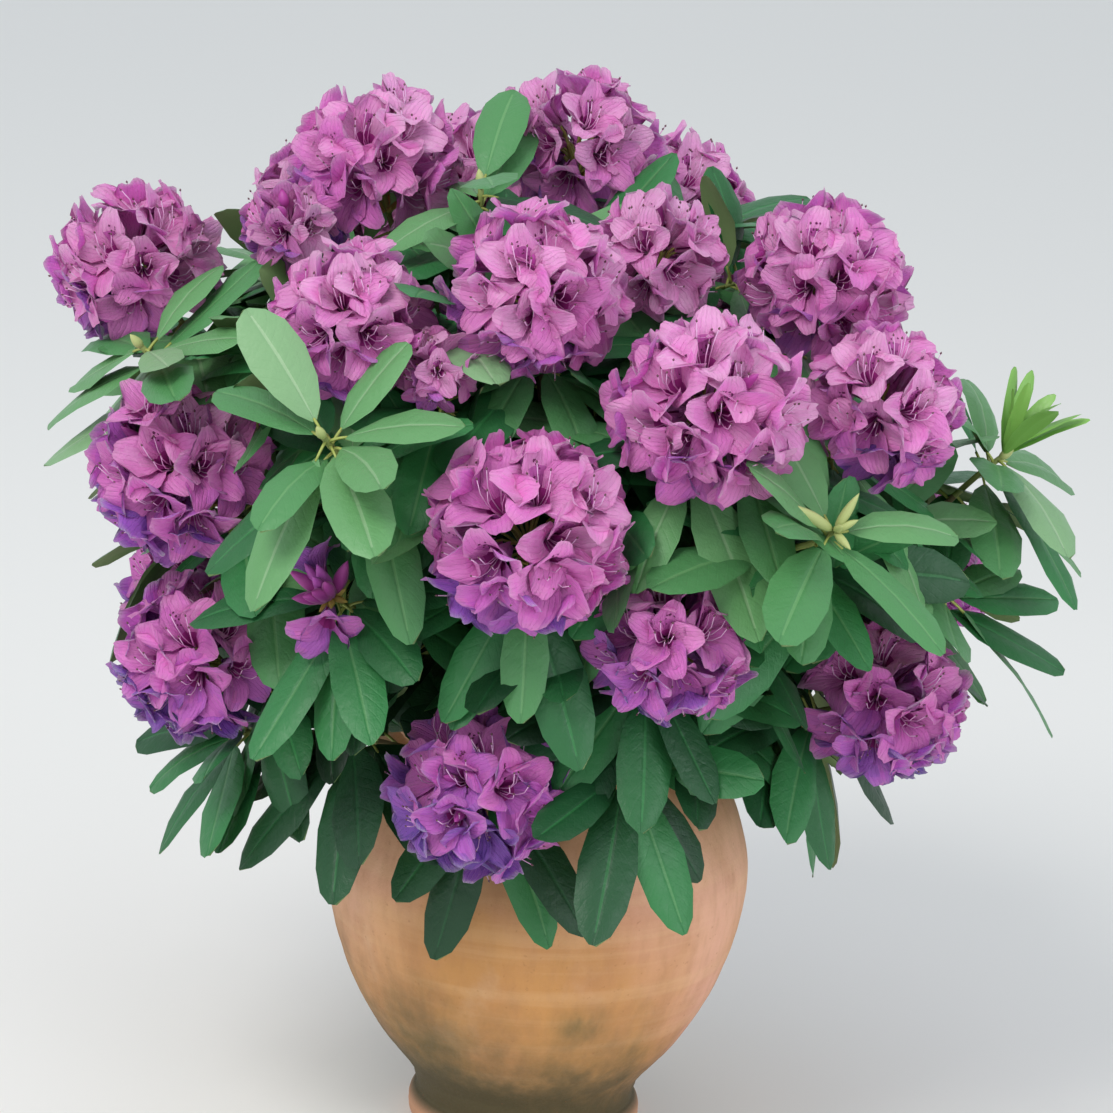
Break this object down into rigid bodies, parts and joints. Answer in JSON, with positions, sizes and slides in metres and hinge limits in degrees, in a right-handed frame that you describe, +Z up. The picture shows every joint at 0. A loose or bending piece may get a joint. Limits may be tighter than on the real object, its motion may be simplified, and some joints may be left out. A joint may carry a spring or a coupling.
{
  "type": "potted rhododendron",
  "caption": "Evergreen rhododendron in full lilac bloom, with leaf whorls under round flower trusses, planted in a wide-bellied terracotta jar with a rolled rim",
  "frame": {"origin": "centre of the jar's flat underside", "axes": "+Z up, -Y towards the viewer of the picture, +X to that viewer's right"},
  "size_m": [0.8284, 0.7692, 0.8634],
  "materials": {
    "terracotta": "matte, unglazed",
    "soil": "matte",
    "bark": "rough bark",
    "foliage": "satin"
  },
  "bodies": {
    "root": {"jar": "terracotta", "soil": "soil", "trunk": "bark", "bough_back_low_1": "bark", "bough_back_low_2": "bark", "bough_back_low_3": "bark", "bough_back_mid_1": "bark", "bough_back_mid_2": "bark", "bough_back_mid_3": "bark", "bough_back_top_1": "bark", "bough_back_top_2": "bark", "bough_back_upper_1": "bark", "bough_back_upper_2": "bark", "bough_front": "bark", "bough_front_left": "bark", "bough_front_right": "bark", "bough_left": "bark", "bough_lower_front": "bark", "bough_lower_front_right": "bark", "bough_lower_left": "bark", "bough_lower_right": "bark", "bough_right": "bark", "bough_top_left": "bark", "bough_top_right": "bark", "bough_upper_front": "bark", "bough_upper_left": "bark", "bough_upper_right": "bark", "foliage_back_low_1": "foliage", "foliage_back_low_2": "foliage", "foliage_back_low_3": "foliage", "foliage_back_mid_1": "foliage", "foliage_back_mid_2": "foliage", "foliage_back_mid_3": "foliage", "foliage_back_top_1": "foliage", "foliage_back_top_2": "foliage", "foliage_back_upper_1": "foliage", "foliage_back_upper_2": "foliage", "foliage_front": "foliage", "foliage_front_left": "foliage", "foliage_front_right": "foliage", "foliage_left": "foliage", "foliage_lower_front": "foliage", "foliage_lower_front_right": "foliage", "foliage_lower_left": "foliage", "foliage_lower_right": "foliage", "foliage_right": "foliage", "foliage_top_left": "foliage", "foliage_top_right": "foliage", "foliage_upper_front": "foliage", "foliage_upper_left": "foliage", "foliage_upper_right": "foliage"}
  },
  "joints": []
}
